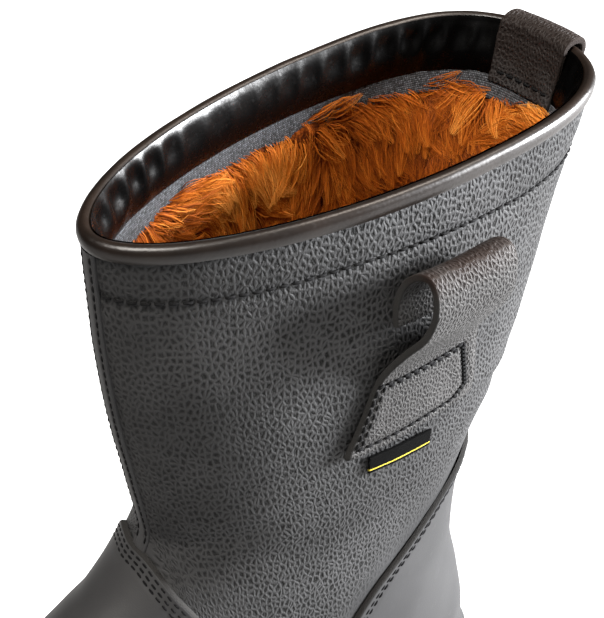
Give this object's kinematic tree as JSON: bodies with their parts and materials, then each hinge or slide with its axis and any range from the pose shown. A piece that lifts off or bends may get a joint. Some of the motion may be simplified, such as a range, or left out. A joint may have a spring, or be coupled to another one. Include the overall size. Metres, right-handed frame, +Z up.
{
  "type": "rigger boot",
  "caption": "Left pull-on rigger work boot in black leather with a flared shaft, bound collar, side pull loop, back pull strap and cleated rubber sole.",
  "frame": {"origin": "on the floor, under the middle of the part's box", "axes": "+X towards the toe, +Y towards the boot's outer (left) side, +Z up from the floor"},
  "size_m": [0.3372, 0.1122, 0.2734],
  "materials": {
    "pebbled_leather": "black tumbled leather, semi-matt",
    "smooth_leather": "black smooth leather, satin",
    "binding_leather": "black coated binding, glossy",
    "black_rubber": "moulded, matt",
    "felt": "brown pile footbed",
    "woven_label": "close weave, matt"
  },
  "bodies": {
    "root": {"outsole": "black_rubber", "insole": "felt", "upper": "pebbled_leather", "vamp": "smooth_leather", "counter": "smooth_leather", "heel_strip": "smooth_leather", "front_piping": "smooth_leather", "collar_binding": "binding_leather", "side_loop": "pebbled_leather", "back_strap": "pebbled_leather", "woven_tag": "woven_label"}
  },
  "joints": []
}
